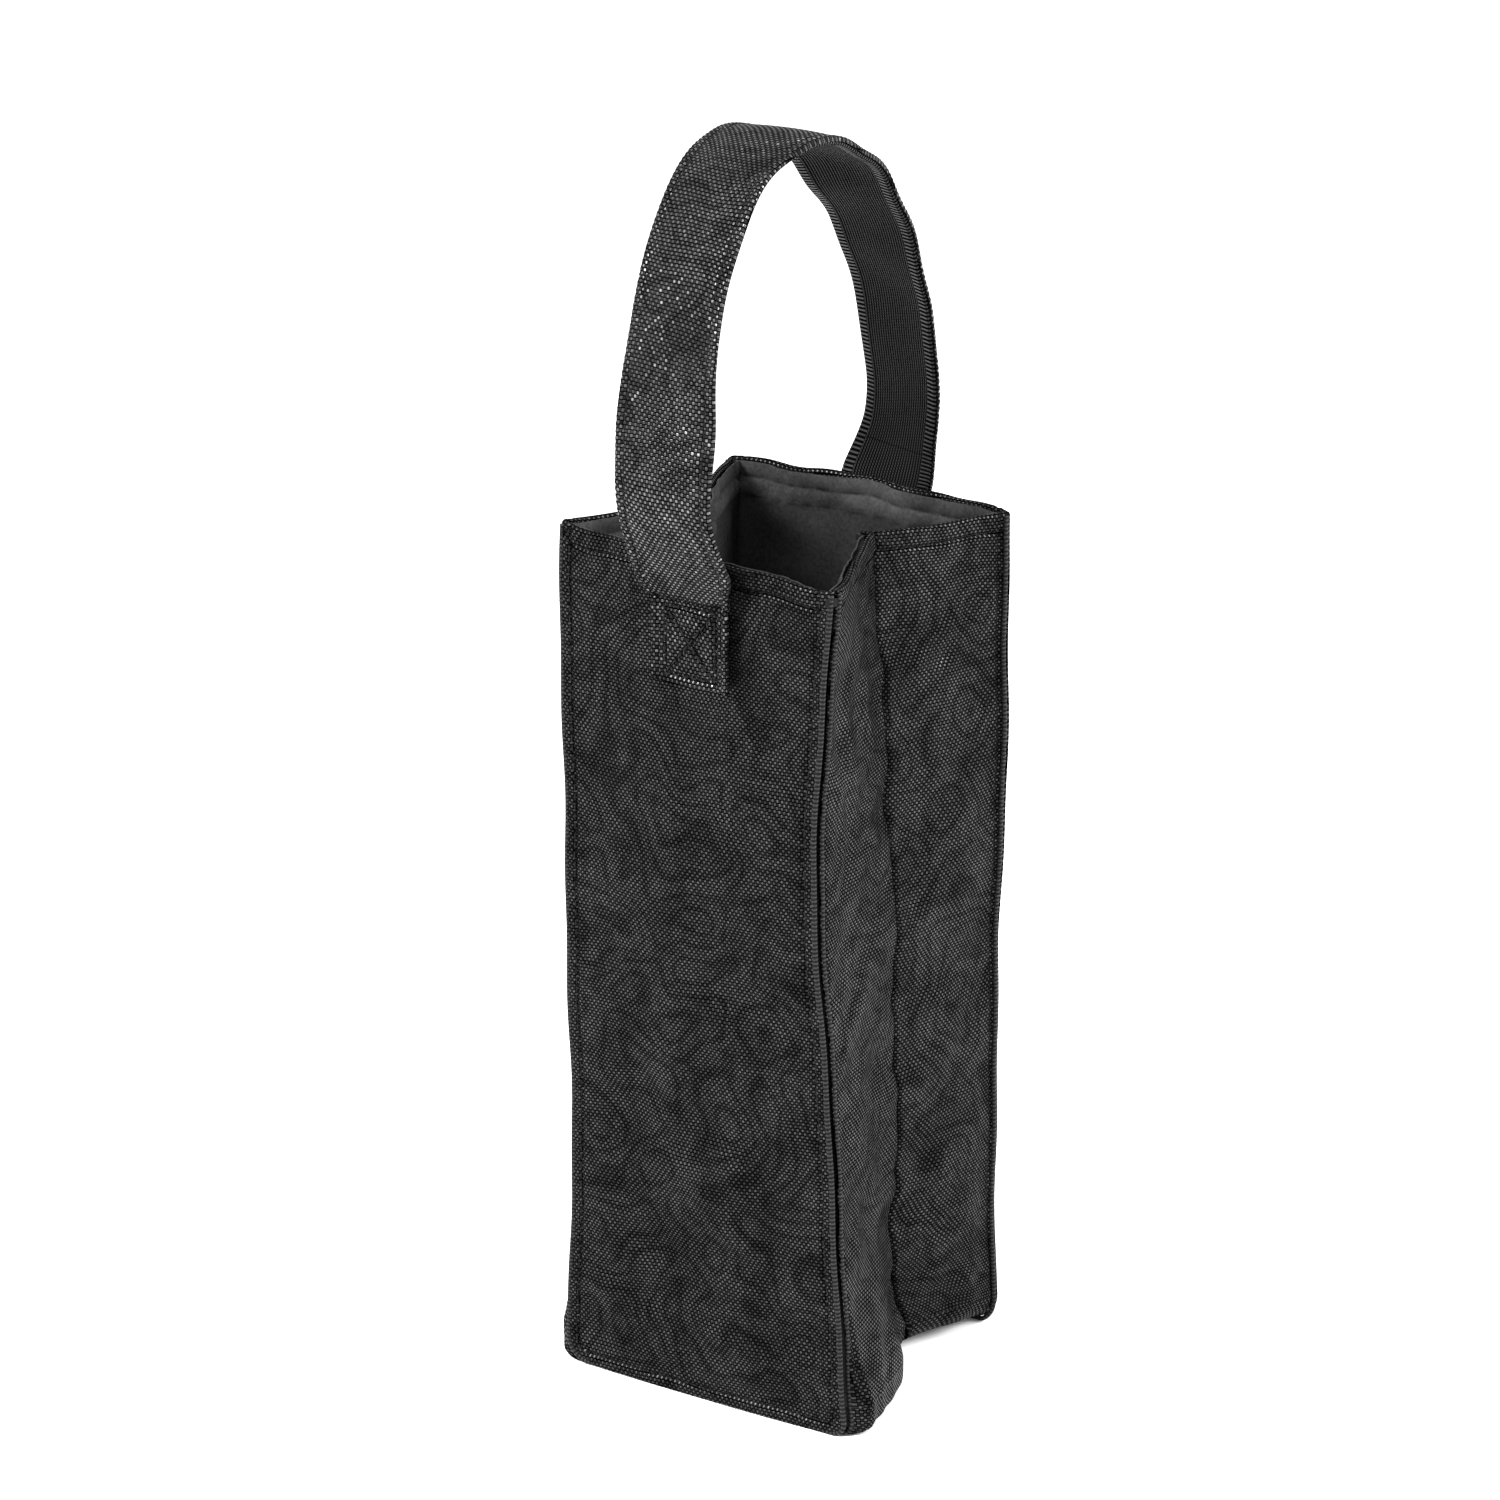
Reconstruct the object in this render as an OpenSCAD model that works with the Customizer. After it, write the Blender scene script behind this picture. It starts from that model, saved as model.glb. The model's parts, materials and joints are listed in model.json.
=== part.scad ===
// Bottle gift bag: a tall lined cloth bag with gusseted sides that fold in on a
// middle crease, and one wide strap looped over the mouth.
// Millimetres, +Z up, origin on the floor at the middle of the base.
// The front panel faces -Y and the gussets face +X and -X.

/* [Bag] */
// Width across the corner seams
bag_w = 98; // [90:1:110]
// Depth between the outer faces of the front and back panels
bag_d = 94; // [86:1:96]
// Height from the floor to the rim
bag_h = 270; // [240:1:320]
// How far the middle crease of each gusset is pushed in
crease_depth = 10; // [6:1:14]
// Outer radius of the rounded lower corners
corner_r = 9; // [7:1:12]

/* [Cloth] */
// Thickness of the woven outer cloth
outer_t = 1; // [0.8:0.1:1.2]
// Thickness of the lining and of the hem facing
lining_t = 0.6; // [0.4:0.1:0.8]
// Width of the ridge sewn along each corner seam
seam_w = 3; // [2:0.5:4]
// How far that ridge stands out of the panel
seam_proud = 0.6; // [0.3:0.1:1]
// Height of the facing inside the rim
hem_h = 12; // [8:1:18]
// Distance of the topstitching from the rim
hem_stitch_drop = 6; // [4:0.5:7]

/* [Strap] */
// Width of the strap
strap_w = 35; // [28:1:40]
// Thickness of each of the strap's two plies
ply_t = 1.2; // [0.8:0.1:1.4]
// Height of the strap's crown above the rim, to the middle of its thickness
strap_rise = 118; // [100:1:140]
// How far the strap bows out beyond the panels
strap_bow = 19; // [12:1:24]
// Distance from the rim down to the top of each sewn end
patch_drop = 12; // [12:1:20]
// Height of each sewn end
patch_h = 26; // [22:0.5:30]

/* [Thread] */
// Width of a line of stitches
thread_w = 0.6; // [0.4:0.1:0.8]
// How far a line of stitches stands proud
thread_t = 0.3; // [0.2:0.1:0.4]

/* [Hidden] */
$fn = 48;
cloth_t = outer_t + lining_t;
// Corner hinge lines lie on the lining's face, crease hinge lines on the outer face
hinge_x = bag_w / 2 - cloth_t;
hinge_y = bag_d / 2 - cloth_t;
half_span = sqrt(crease_depth * crease_depth + hinge_y * hinge_y);
// Angle of a gusset half from the Y axis, and its length from corner to crease
gusset_angle = atan2(crease_depth, hinge_y) + asin(cloth_t / half_span);
gusset_len = sqrt(half_span * half_span - cloth_t * cloth_t);
corner_gap = 2;
crease_gap = 0.3;
body_gap = 0.3;
gusset_low = corner_r + 0.6;
tongue = 2;
tack_h = 3;
tack_inset = 3;
// Line of topstitching round a panel, measured in from the outside
edge_stitch_in = seam_w + 1.2;
// Strap route in the Y-Z plane, on the front: foot, widest point, crown
strap_y0 = -(bag_d / 2 + 2 * ply_t + thread_t + body_gap + ply_t);
strap_z0 = bag_h - patch_drop + 1;
bow_y = -(bag_d / 2 + strap_bow);
bow_z = bag_h + 25;
crown_z = bag_h + strap_rise;
strap_cut = 0.6;
crown_cut = 0.8;
strap_steps = 14;
foot_steps = 6;
strap_thread_in = 3.5;
box_stitch_w = 22;
box_stitch_margin = 2.5;

black = [0.09, 0.09, 0.09];
ridge_black = [0.14, 0.14, 0.14];
lining_grey = [0.2, 0.2, 0.21];
webbing_black = [0.12, 0.12, 0.12];
thread_black = [0.05, 0.05, 0.05];

// ---- placing ----

module back() {
    mirror([0, 1, 0]) children();
}

module left() {
    mirror([1, 0, 0]) children();
}

// Stands an X-Z outline up as a sheet whose outer face is at y = -depth
module front_sheet(depth, t) {
    translate([0, t - depth, 0]) rotate([90, 0, 0]) linear_extrude(t) children();
}

// Frame of the right front gusset half: x runs from corner to crease, -y points out
module gusset_frame() {
    translate([hinge_x, -hinge_y, 0]) rotate([0, 0, 90 + gusset_angle]) children();
}

// ---- panels ----

// Upright outline with rounded lower corners
module u_outline(half_w, low, high, r) {
    translate([-half_w, low + r]) square([2 * half_w, high - low - r]);
    translate([r - half_w, low]) square([2 * (half_w - r), r + 1]);
    for (side = [-1, 1])
        translate([side * (half_w - r), low + r]) circle(r);
}

module panel_outline(high) {
    u_outline(bag_w / 2 - seam_w, seam_w, high, corner_r - seam_w);
}

module panel_cloth() {
    color(black) front_sheet(bag_d / 2, outer_t) panel_outline(bag_h);
}

module panel_lining() {
    color(lining_grey) front_sheet(bag_d / 2 - outer_t, lining_t) panel_outline(bag_h - hem_h);
}

module panel_hem() {
    half_w = bag_w / 2 - seam_w;
    color(lining_grey) front_sheet(bag_d / 2 - outer_t, lining_t)
        translate([-half_w, bag_h - hem_h]) square([2 * half_w, hem_h]);
}

// Turned and topstitched ridge that joins a panel to the gusset strip
module edge_seam() {
    color(ridge_black) front_sheet(bag_d / 2 + seam_proud, cloth_t + seam_proud)
        difference() {
            u_outline(bag_w / 2, 0, bag_h, corner_r);
            panel_outline(bag_h + 1);
        }
}

module edge_thread() {
    in = edge_stitch_in;
    color(thread_black) front_sheet(bag_d / 2 + thread_t, thread_t)
        difference() {
            u_outline(bag_w / 2 - in, in, bag_h - 1, corner_r - in);
            u_outline(bag_w / 2 - in - thread_w, in + thread_w, bag_h,
                corner_r - in - thread_w);
        }
}

module hem_thread() {
    half_w = bag_w / 2 - edge_stitch_in - 2 * thread_w;
    color(thread_black) front_sheet(bag_d / 2 + thread_t, thread_t)
        for (side = [0, 1])
            translate([side * (strap_w / 2 + 1) - (1 - side) * half_w, bag_h - hem_stitch_drop])
                square([half_w - strap_w / 2 - 1, thread_w]);
}

module corner_tacks() {
    color(thread_black) front_sheet(bag_d / 2 + seam_proud + thread_t, thread_t)
        for (side = [-1, 1])
            translate([side * (bag_w - seam_w) / 2 - thread_w, bag_h - tack_inset - tack_h])
                square([2 * thread_w, tack_h]);
}

// ---- sewn strap ends ----

module patch_outline() {
    translate([-strap_w / 2, bag_h - patch_drop - patch_h]) square([strap_w, patch_h]);
}

module webbing_end() {
    color(webbing_black) front_sheet(bag_d / 2 + ply_t, ply_t) patch_outline();
}

module strap_end() {
    color(black) front_sheet(bag_d / 2 + 2 * ply_t, ply_t) patch_outline();
}

// Square of stitches crossed by an X
module box_stitch() {
    w = box_stitch_w;
    h = patch_h - 2 * box_stitch_margin;
    slope = atan2(h, w);
    diagonal = sqrt(w * w + h * h) - 4 * thread_w;
    color(thread_black) front_sheet(bag_d / 2 + 2 * ply_t + thread_t, thread_t)
        translate([0, bag_h - patch_drop - patch_h / 2]) {
            difference() {
                square([w, h], center = true);
                square([w - 2 * thread_w, h - 2 * thread_w], center = true);
            }
            for (turn = [slope, -slope])
                rotate(turn) square([diagonal, thread_w], center = true);
        }
}

// ---- gussets ----

module gusset_layer(inner, t, low, high) {
    gusset_frame()
        translate([corner_gap, -inner - t, low])
            cube([gusset_len - corner_gap - crease_gap, t, high - low]);
}

module gusset_cloth() {
    color(black) gusset_layer(lining_t, outer_t, gusset_low, bag_h);
}

module gusset_lining() {
    color(lining_grey) gusset_layer(0, lining_t, gusset_low, bag_h - hem_h);
}

module gusset_hem() {
    color(lining_grey) gusset_layer(0, lining_t, bag_h - hem_h, bag_h);
}

module gusset_thread() {
    low = bag_h - hem_stitch_drop;
    color(thread_black) gusset_frame()
        translate([2 * corner_gap, -cloth_t - thread_t, low])
            cube([gusset_len - 4 * corner_gap, thread_t, thread_w]);
}

// ---- base ----

// Distance from the Y axis of a line parallel to a gusset half, out by n from its lining face
function gusset_line_x(y, n) = hinge_x - tan(gusset_angle) * (y + hinge_y) + n / cos(gusset_angle);

// Quarter round where a gusset half turns under to become the base, with a flat tongue
module base_roll(inner, t) {
    r = corner_r - (cloth_t - inner - t);
    low = corner_r - r;
    intersection() {
        gusset_frame()
            translate([-corner_r, corner_r - cloth_t, 0]) rotate([90, 0, 90])
                linear_extrude(gusset_len + 2 * corner_r) {
                    intersection() {
                        translate([0, corner_r]) difference() {
                            circle(r);
                            circle(r - t);
                        }
                        translate([-corner_r, 0]) square(corner_r);
                    }
                    translate([-0.01, low]) square([tongue, t]);
                }
        translate([0, body_gap - hinge_y, -1])
            cube([bag_w, hinge_y - body_gap, 2 * corner_r]);
    }
}

module base_layer(inner, t) {
    inset = cloth_t - corner_r - tongue / 2;
    end_y = hinge_y - body_gap;
    low = cloth_t - inner - t;
    for (side = [0, 1], end = [0, 1])
        mirror([side, 0, 0]) mirror([0, end, 0]) base_roll(inner, t);
    translate([0, 0, low]) linear_extrude(t) polygon([
        [-gusset_line_x(-end_y, inset), -end_y],
        [gusset_line_x(-end_y, inset), -end_y],
        [gusset_line_x(0, inset), 0],
        [gusset_line_x(-end_y, inset), end_y],
        [-gusset_line_x(-end_y, inset), end_y],
        [-gusset_line_x(0, inset), 0]
    ]);
}

module base_cloth() {
    color(black) base_layer(lining_t, outer_t);
}

module base_inner() {
    color(lining_grey) base_layer(0, lining_t);
}

// ---- strap ----

function bezier(p, t) =
    pow(1 - t, 3) * p[0] + 3 * pow(1 - t, 2) * t * p[1]
    + 3 * (1 - t) * t * t * p[2] + pow(t, 3) * p[3];

function bezier_slope(p, t) =
    3 * pow(1 - t, 2) * (p[1] - p[0]) + 6 * (1 - t) * t * (p[2] - p[1])
    + 3 * t * t * (p[3] - p[2]);

// Point beside the curve, out by n to the left of its direction
function beside(p, t, n) =
    let (d = bezier_slope(p, t)) bezier(p, t) + n * [-d[1], d[0]] / norm(d);

foot_curve = [
    [strap_y0, strap_z0], [strap_y0 - 7, strap_z0 + 7],
    [bow_y, bow_z - 20], [bow_y, bow_z - strap_cut]
];
half_curve = [
    [bow_y, bow_z + strap_cut], [bow_y, bow_z + 58],
    [-44, crown_z], [-crown_cut, crown_z]
];

// Closed band between two distances from the curve, standing along X
module strap_band(p, steps, from, to, width) {
    outer_side = [for (i = [0:steps]) beside(p, i / steps, to)];
    inner_side = [for (i = [steps:-1:0]) beside(p, i / steps, from)];
    translate([-width / 2, 0, 0]) rotate([90, 0, 90]) linear_extrude(width)
        polygon(concat(outer_side, inner_side));
}

module strap_foot() {
    color(black) strap_band(foot_curve, foot_steps, 0, ply_t, strap_w);
}

module webbing_foot() {
    color(webbing_black) strap_band(foot_curve, foot_steps, -ply_t, 0, strap_w - 2);
}

module strap_half() {
    color(black) strap_band(half_curve, strap_steps, 0, ply_t, strap_w);
}

module webbing_half() {
    color(webbing_black) strap_band(half_curve, strap_steps, -ply_t, 0, strap_w - 2);
}

// Two lines of stitches along the strap's edges
module edge_lines(curve, steps) {
    color(thread_black)
        for (side = [-1, 1])
            translate([side * (strap_w / 2 - strap_thread_in), 0, 0])
                strap_band(curve, steps, ply_t, ply_t + thread_t, thread_w);
}

module foot_thread() {
    edge_lines(foot_curve, foot_steps);
}

module strap_thread() {
    edge_lines(half_curve, strap_steps);
}

panel_cloth();  // front_panel
panel_lining();  // front_lining
panel_hem();  // front_hem
edge_seam();  // front_edge_seam
edge_thread();  // front_edge_thread
hem_thread();  // front_hem_thread
corner_tacks();  // front_corner_tacks
strap_end();  // front_strap_end
webbing_end();  // front_webbing_end
box_stitch();  // front_box_stitch
base_cloth();  // base_panel
base_inner();  // base_lining

back() panel_cloth();  // back_panel
back() panel_lining();  // back_lining
back() panel_hem();  // back_hem
back() edge_seam();  // back_edge_seam
back() edge_thread();  // back_edge_thread
back() hem_thread();  // back_hem_thread
back() corner_tacks();  // back_corner_tacks
back() strap_end();  // back_strap_end
back() webbing_end();  // back_webbing_end
back() box_stitch();  // back_box_stitch

gusset_cloth();  // right_front_gusset
gusset_lining();  // right_front_lining
gusset_hem();  // right_front_hem
gusset_thread();  // right_front_thread
back() gusset_cloth();  // right_rear_gusset
back() gusset_lining();  // right_rear_lining
back() gusset_hem();  // right_rear_hem
back() gusset_thread();  // right_rear_thread
left() gusset_cloth();  // left_front_gusset
left() gusset_lining();  // left_front_lining
left() gusset_hem();  // left_front_hem
left() gusset_thread();  // left_front_thread
left() back() gusset_cloth();  // left_rear_gusset
left() back() gusset_lining();  // left_rear_lining
left() back() gusset_hem();  // left_rear_hem
left() back() gusset_thread();  // left_rear_thread

strap_foot();  // front_strap_foot
webbing_foot();  // front_webbing_foot
foot_thread();  // front_foot_thread
strap_half();  // front_strap
webbing_half();  // front_webbing
strap_thread();  // front_strap_thread
back() strap_foot();  // rear_strap_foot
back() webbing_foot();  // rear_webbing_foot
back() foot_thread();  // rear_foot_thread
back() strap_half();  // rear_strap
back() webbing_half();  // rear_webbing
back() strap_thread();  // rear_strap_thread
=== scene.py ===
import json
import math

import bpy
import numpy as np
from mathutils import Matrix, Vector


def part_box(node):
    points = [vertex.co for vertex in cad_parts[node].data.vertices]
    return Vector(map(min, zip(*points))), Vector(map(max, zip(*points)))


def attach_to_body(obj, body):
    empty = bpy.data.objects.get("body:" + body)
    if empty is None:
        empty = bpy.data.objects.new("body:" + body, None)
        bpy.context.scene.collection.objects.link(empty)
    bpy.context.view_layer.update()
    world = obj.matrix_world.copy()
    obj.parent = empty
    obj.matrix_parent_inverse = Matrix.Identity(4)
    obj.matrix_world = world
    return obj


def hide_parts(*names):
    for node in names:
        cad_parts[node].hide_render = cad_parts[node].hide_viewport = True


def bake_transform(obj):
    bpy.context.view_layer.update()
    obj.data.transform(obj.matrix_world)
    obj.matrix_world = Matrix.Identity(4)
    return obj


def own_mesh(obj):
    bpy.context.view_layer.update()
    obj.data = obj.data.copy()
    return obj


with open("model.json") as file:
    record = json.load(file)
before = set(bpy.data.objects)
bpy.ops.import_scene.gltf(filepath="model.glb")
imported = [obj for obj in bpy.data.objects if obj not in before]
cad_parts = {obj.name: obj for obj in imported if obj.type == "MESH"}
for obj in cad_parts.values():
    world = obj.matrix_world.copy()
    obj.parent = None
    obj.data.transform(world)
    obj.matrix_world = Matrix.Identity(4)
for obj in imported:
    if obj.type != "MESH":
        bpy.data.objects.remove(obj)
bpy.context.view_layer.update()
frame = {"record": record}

# Sizes, in millimetres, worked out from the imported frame. Meshes are made in
# millimetres and scaled to metres by MM when they become objects.
MM = 0.001
JOINTS = {j["name"]: j for j in frame["record"]["behaviour"]["joints"]}


def low(node):
    return np.array(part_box(node)[0], float) / MM


def high(node):
    return np.array(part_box(node)[1], float) / MM


def pivot(joint):
    return np.array(JOINTS[joint]["pos_m"], float) / MM


HALF_W = high("front_edge_seam")[0]
DEPTH = high("back_panel")[1]
RIM = high("front_panel")[2]
CORNER_R = high("base_panel")[2]
HINGE = pivot("right_rear_corner")
HEM_STITCH = low("front_hem_thread")[2]
FACING_LOW = low("front_hem")[2]
STRAP_HALF_W = high("front_strap")[0]
PATCH_LOW = low("front_strap_end")[2]
PATCH_TOP = high("front_strap_end")[2]
BOX_HALF_W = high("front_box_stitch")[0]
BOX_LOW = low("front_box_stitch")[2]
BOX_TOP = high("front_box_stitch")[2]
BOW = pivot("rear_strap_squeeze")
PLY = 1.2  # one ply of the strap
CROWN = high("front_strap")[2] - PLY

CLOTH_T = 0.8  # thickness that the bag's cloth is drawn with
LINING_T = 0.4  # and the lining's
LINING_IN = 2.0  # from the cloth's face in to the lining's
EDGE_STITCH = 3.8  # from a panel's outline in to its stitch line
STITCH_PITCH = 3.1
THREAD_R = 0.27
BEAD_R = 0.9  # a seam ridge's radius
BAR_PITCH = 1.3  # between the yarns that cross a seam ridge
ROLL_R = 1.15  # radius of the rim's turn
RIM_REACH = 60  # how far below the rim its dips reach
ROW_STEP = 1.7  # between mesh rows away from the seams
THREAD_LIFT = 0.1  # a stitch's middle above the cloth
STRAP_STITCH = 3.5  # from the strap's edge in to its stitch line
# Heights of mesh rows by the hem's stitch line
HEM_ROWS = HEM_STITCH + np.array([-2.6, -1.6, -0.9, -0.4, 0.0, 0.4, 0.9, 1.6, 2.4, 3.3, 4.2, 4.9])


# --- The bag's form: where its seams, creases and cloth run ---
def bell(v, width):
    return np.exp(-((v / width) ** 2))


def hump(z, centre, below, above, size):
    """A bell that falls off faster on one side."""
    return size * bell(z - centre, np.where(z < centre, below, above))


def ramp(v, start, end):
    """From 0 at start to 1 at end, eased."""
    t = np.clip((v - start) / (end - start), 0, 1)
    return t * t * (3 - 2 * t)


def waves(a, b, length, seed, stretch=1.0, count=18):
    """A smooth random field over a and b with wrinkles about length long."""
    rng = np.random.default_rng(seed)
    total = np.zeros(np.broadcast(a, b).shape)
    for _ in range(count):
        angle = rng.uniform(0, math.pi)
        k = 2 * math.pi / (length * rng.uniform(0.7, 1.5))
        phase = rng.uniform(0, 2 * math.pi)
        total += np.sin(k * (a * math.cos(angle) * stretch + b * math.sin(angle)) + phase)
    return total / math.sqrt(count)


def grain(a, b, length, bands, seed):
    """Curving bands like the contour lines of a smooth field, as crumpled cloth shows."""
    return np.sin(bands * waves(a, b, length, seed, 0.75, count=9))


def crumple(a, b, length, seed, stretch=1.0):
    """Soft-edged folds: round hollows between narrower crests."""
    field = waves(a, b, length, seed, stretch)
    return 0.75 - np.sqrt(field**2 + 0.2)


def corner(side, end, z):
    """A corner seam's x and y at height z. side is +1 right, end is -1 front."""
    z = np.asarray(z, float)
    near = side == 1 and end == -1
    pinch = hump(z, 185, 102, 95, 8.3) if near else hump(z, 100, 75, 85, 1.6)
    forward = hump(z, 185, 88, 95, 2.6) if near else hump(z, 150, 80, 90, 1.0)
    wander = 0.3 * np.sin(z / 17 + 2 * side + end) + 0.18 * np.sin(z / 7.3 + side - 2 * end)
    flare = np.exp(-z / 16)
    x = side * (HALF_W + 0.6 - pinch + (3.4 if near else 1.7) * flare) + wander
    y = end * (DEPTH - 0.4 + forward + (1.8 if end < 0 else 0.0) * flare) + 0.5 * wander
    return x, y


def rim_drop(x, y):
    """How far the rim dips below its level height."""
    near = 3.0 * np.exp(-(((x - 46) / 24) ** 2) - (((y + 46) / 30) ** 2))
    front_left = 2.4 * np.exp(-(((x + 48) / 26) ** 2) - (((y + 46) / 30) ** 2))
    rear_right = 1.9 * np.exp(-(((x - 46) / 30) ** 2) - (((y - 46) / 30) ** 2))
    ripple = 0.35 * np.sin(x / 6.5 + y / 9) + 0.25 * np.sin(x / 3.1 - y / 5.7)
    return near - front_left + rear_right + ripple


def rim_shift(x, y, z):
    """The share of that dip at height z."""
    return rim_drop(x, y) * ramp(z, RIM - RIM_REACH, RIM)


def crease(side, z):
    """The valley's x and y at height z: deepest at the mouth, swerving back at the floor."""
    z = np.asarray(z, float)
    foot = bell(z, 24)
    depth = 8.6 + 8.6 * ramp(z, 130, 275) + 1.5 * foot
    depth = depth + 0.5 * np.sin(z / 21 + side)
    return side * (HINGE[0] + 0.6 - depth), 13 * foot + 0.7 * np.sin(z / 13 + 2 * side)


def corner_radius(side, end):
    """Radius of a panel's lower corner: the near one is worn square."""
    return CORNER_R - 3.5 if (side, end) == (1, -1) else CORNER_R


def edge_gap(end, u, z, half):
    """Distance in from a panel's outline, rounded at the lower corners."""
    side_gap = (1 - np.abs(u)) * half
    gap = np.minimum(side_gap, z)
    r = np.where(u > 0, corner_radius(1, end), corner_radius(-1, end))
    rounded = r - np.hypot(r - side_gap, r - z)
    return np.where((side_gap < r) & (z < r), np.maximum(rounded, 0), gap)


def seam_relief(gap):
    """Height of the cloth beside a seam: a padded band, then the stitch line's trough."""
    band = 0.55 * (1 - ramp(gap, EDGE_STITCH - 0.9, EDGE_STITCH - 0.1))
    trough = 0.5 * bell(gap - EDGE_STITCH, 0.5)
    beyond = 0.22 * bell(gap - EDGE_STITCH - 1.7, 1.0)
    return band - trough + beyond


def hem_relief(drop):
    """The same for the turned hem, by distance below the rim."""
    line = RIM - HEM_STITCH
    band = 0.95 * (1 - ramp(drop, line - 1.4, line - 0.1))
    trough = 0.8 * bell(drop - line, 0.6)
    return band - trough


def panel_point(end, u, z, inward=0.0):
    """A point of the front (end -1) or back (end +1) panel, u from -1 to 1 across it."""
    (xl, yl), (xr, yr) = corner(-1, end, z), corner(1, end, z)
    cut_left, cut_right = (r - np.sqrt(np.maximum(r**2 - np.maximum(r - z, 0) ** 2, 0))
                           for r in (corner_radius(-1, end), corner_radius(1, end)))
    xl, xr = xl + cut_left, xr - cut_right
    half = (xr - xl) / 2 - 0.4
    x = (xl + xr) / 2 + u * half
    y = yl + (yr - yl) * (u + 1) / 2
    up = np.clip(z / RIM, 0, 1)
    belly = (1 - u**2) * (1.2 + 1.6 * np.sin(math.pi * up) + 1.2 * up**4)
    return x, y + end * (belly - inward), z, half


def panel_wrinkles(end, x, z, gap):
    """Outward relief of the panel's cloth, calm near its sewn edges."""
    seed = 11 if end < 0 else 12
    low_half = 1 - ramp(z, 60, 210)
    free = ramp(gap, 2, 16)
    big = 1.3 * waves(x, z, 62, seed)
    folds = (1.0 + 0.8 * low_half) * crumple(x, z, 30, seed + 20, 0.7)
    small = (0.24 + 0.26 * low_half) * waves(x, z, 12, seed + 40, 0.5)
    sign = 1 if end < 0 else -1
    slant = (x * 0.55 * sign + z) / 4.2 + 1.6 * waves(x, z, 45, seed + 60)
    slant = 0.5 * low_half * np.sin(slant)
    bands = 0.42 * grain(x, z, 66, 5.0, seed + 100) * ramp(waves(x, z, 44, seed + 120), -0.8, 1)
    pucker = 0.22 * np.exp(-gap / 7) * np.sin(z / 1.9 + waves(x, z, 30, seed + 80))
    return free * (big + folds + small + bands + slant * ramp(gap, 4, 20)) + pucker


def patch_pull(x, z):
    """Creases that run down and out from the sewn strap end's lower corners."""
    total = np.zeros_like(x)
    for side in (-1, 1):
        dx = (x - side * STRAP_HALF_W) * side
        dz = PATCH_LOW - z
        along = (dx + dz) / math.sqrt(2)
        across = (dx - dz) / math.sqrt(2)
        fade = ramp(along, -1, 3) * np.exp(-np.maximum(along, 0) / 13)
        total += 0.8 * (bell(across, 2.6) * fade)
    return total


def gusset_point(side, t, z, inward=0.0):
    """A point of a gusset, t from -1 at the front seam to 1 at the back seam."""
    xf, yf = corner(side, -1, z)
    xb, yb = corner(side, 1, z)
    valley, swerve = crease(side, z)
    a = np.abs(t)
    soft = 0.022
    rise = (np.sqrt(a**2 + soft**2) - soft) / (math.sqrt(1 + soft**2) - soft)
    xe = np.where(t < 0, xf, xb)
    ye = np.where(t < 0, yf, yb)
    arch = np.sin(math.pi * a)
    foot = 7.8 * bell(z, 27) * ramp(a, 1.0, 0.88) * ramp(a, 0.05, 0.4)
    arch = arch - 2.2 * bell(a, 0.011)
    belly = np.where(t < 0, 0.8 * arch + foot, (1.5 + 1.3 * ramp(z, 120, 20)) * arch)
    x = valley + (xe - valley) * rise + side * (belly - inward)
    y = ye * a + swerve * (1 - a)
    return x, y, z + foot_lift(x, y, z)


def foot_lift(x, y, z):
    """How far the base's edge lifts off the floor beside the rear of each gusset."""
    beside = bell(y - 26, 17) * ramp(np.abs(x), 18, 40)
    return 2.6 * beside * ramp(z, 45, 0)


def gusset_wrinkles(side, y, z, gap):
    """Outward relief of a gusset's cloth, with scallops beside the valley."""
    seed = 31 if side > 0 else 32
    free = ramp(gap, 2, 12)
    big = 0.7 * waves(y, z, 48, seed)
    folds = 0.85 * crumple(y, z, 26, seed + 20) + 0.3 * grain(y, z, 56, 6.5, seed + 100)
    small = 0.24 * waves(y, z, 11, seed + 40, 0.6)
    by_valley = bell(np.abs(y) - 9, 8) * ramp(z, 20, 50) * ramp(z, 245, 190)
    scallop = 0.6 * by_valley * np.sin(z / 4.4 + 0.09 * y + waves(y, z, 60, seed + 60))
    return free * (big + folds + small + scallop)


# --- Meshes ---
def link(obj):
    bpy.context.scene.collection.objects.link(obj)
    return obj


def add_object(name, points, faces, material, uv):
    mesh = bpy.data.meshes.new(name)
    mesh.from_pydata([tuple(p) for p in np.asarray(points) * MM], [], faces)
    layer = mesh.uv_layers.new(name="cloth")
    loops = np.empty(len(mesh.loops), int)
    mesh.loops.foreach_get("vertex_index", loops)
    layer.data.foreach_set("uv", np.asarray(uv, np.float32)[loops].ravel())
    mesh.polygons.foreach_set("use_smooth", [True] * len(mesh.polygons))
    mesh.materials.append(material)
    mesh.update()
    return link(bpy.data.objects.new(name, mesh))


def attach(obj, body, node):
    """A piece that rides whole on one body and stands for one CAD node."""
    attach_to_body(obj, body)
    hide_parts(node)


def travelled(path):
    """How far along a path each of its points is."""
    return np.concatenate([[0], np.cumsum(np.linalg.norm(np.diff(path, axis=0), axis=1))])


def unit(vectors):
    return vectors / np.linalg.norm(vectors, axis=1)[:, None]


def grid_faces(rows, cols, flip=False, closed=False, start=0):
    """Quads of a grid of points. closed joins its last column to its first."""
    faces = []
    for i in range(rows - 1):
        for j in range(cols if closed else cols - 1):
            a, b = start + i * cols + j, start + i * cols + (j + 1) % cols
            c, d = b + cols, a + cols
            faces.append((d, c, b, a) if flip else (a, b, c, d))
    return faces


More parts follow.
